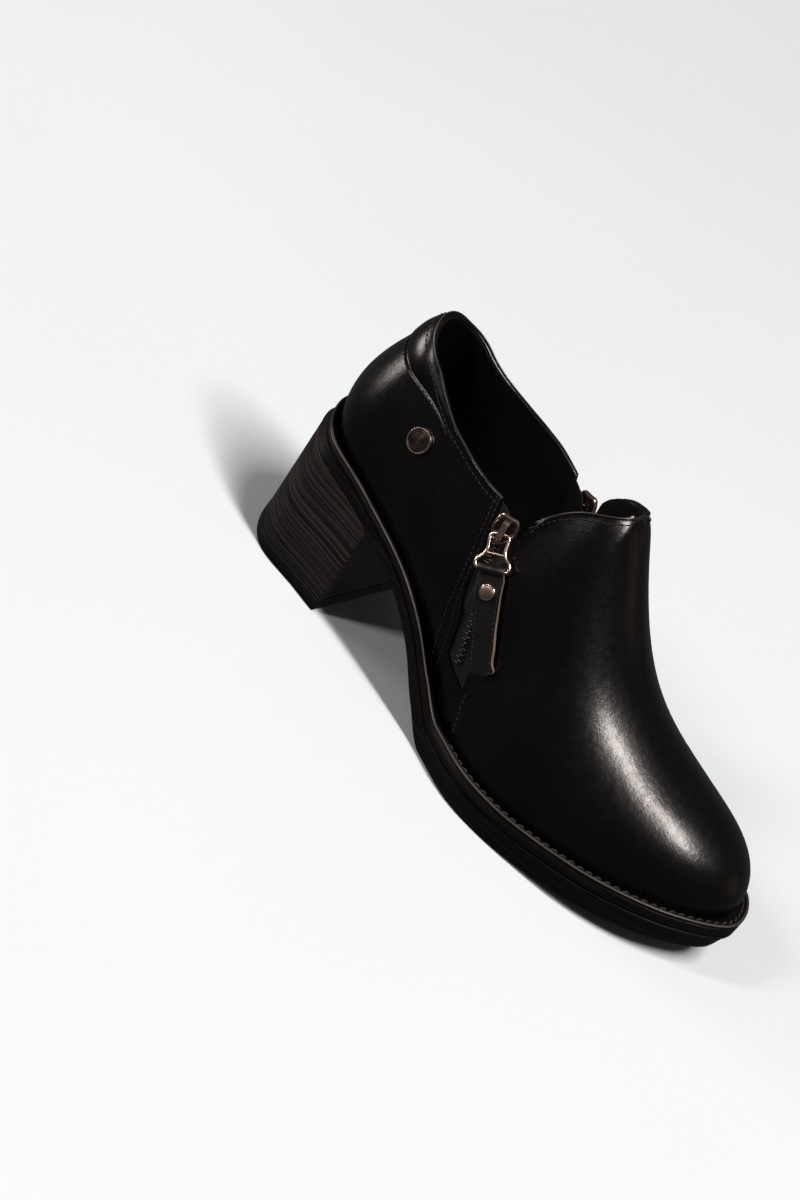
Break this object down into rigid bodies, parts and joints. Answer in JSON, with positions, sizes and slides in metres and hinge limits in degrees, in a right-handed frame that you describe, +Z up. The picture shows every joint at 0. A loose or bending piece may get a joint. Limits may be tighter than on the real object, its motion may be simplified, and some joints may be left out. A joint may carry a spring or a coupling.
{
  "type": "zip ankle boot",
  "caption": "Right ankle boot with a block heel, a rimmed two-layer sole, a round toe and a zip with a swinging leather pull on each side of the vamp.",
  "frame": {"origin": "centre of the heel's foot on the floor", "axes": "+X to the toe, +Y to the medial side, +Z up; the shoe stands unbent on heel and forefoot at z = 0"},
  "size_m": [0.2595, 0.0932, 0.1212],
  "materials": {
    "black_leather": "smooth, soft sheen",
    "sole_rubber": "matt, fine streaks along the edge",
    "stacked_heel": "matt, fine stacked lines",
    "lining": "matt",
    "zip_tape": "woven, with dark teeth",
    "nickel": "warm nickel plate"
  },
  "bodies": {
    "shoe": {"upper": "black_leather", "welt": "sole_rubber", "outsole": "sole_rubber", "heel_block": "stacked_heel", "top_lift": "sole_rubber", "insole": "lining", "zip_lateral": "zip_tape", "zip_medial": "zip_tape", "slider_lateral": "nickel", "slider_medial": "nickel", "badge": "nickel"},
    "pull_lateral": {"link_lateral": "nickel", "tab_lateral": "black_leather", "rivet_lateral": "nickel"},
    "pull_medial": {"link_medial": "nickel", "tab_medial": "black_leather", "rivet_medial": "nickel"}
  },
  "joints": [
    {"name": "pull_lateral_swing", "type": "hinge", "parent": "shoe", "child": "pull_lateral", "pos_m": [0.06424, -0.02932, 0.08747], "axis": [-0.8323, -0.3576, -0.4237], "range_deg": [0, 135]},
    {"name": "pull_medial_swing", "type": "hinge", "parent": "shoe", "child": "pull_medial", "pos_m": [0.06355, 0.02977, 0.08846], "axis": [0.7745, -0.157, 0.6128], "range_deg": [0, 135]}
  ]
}
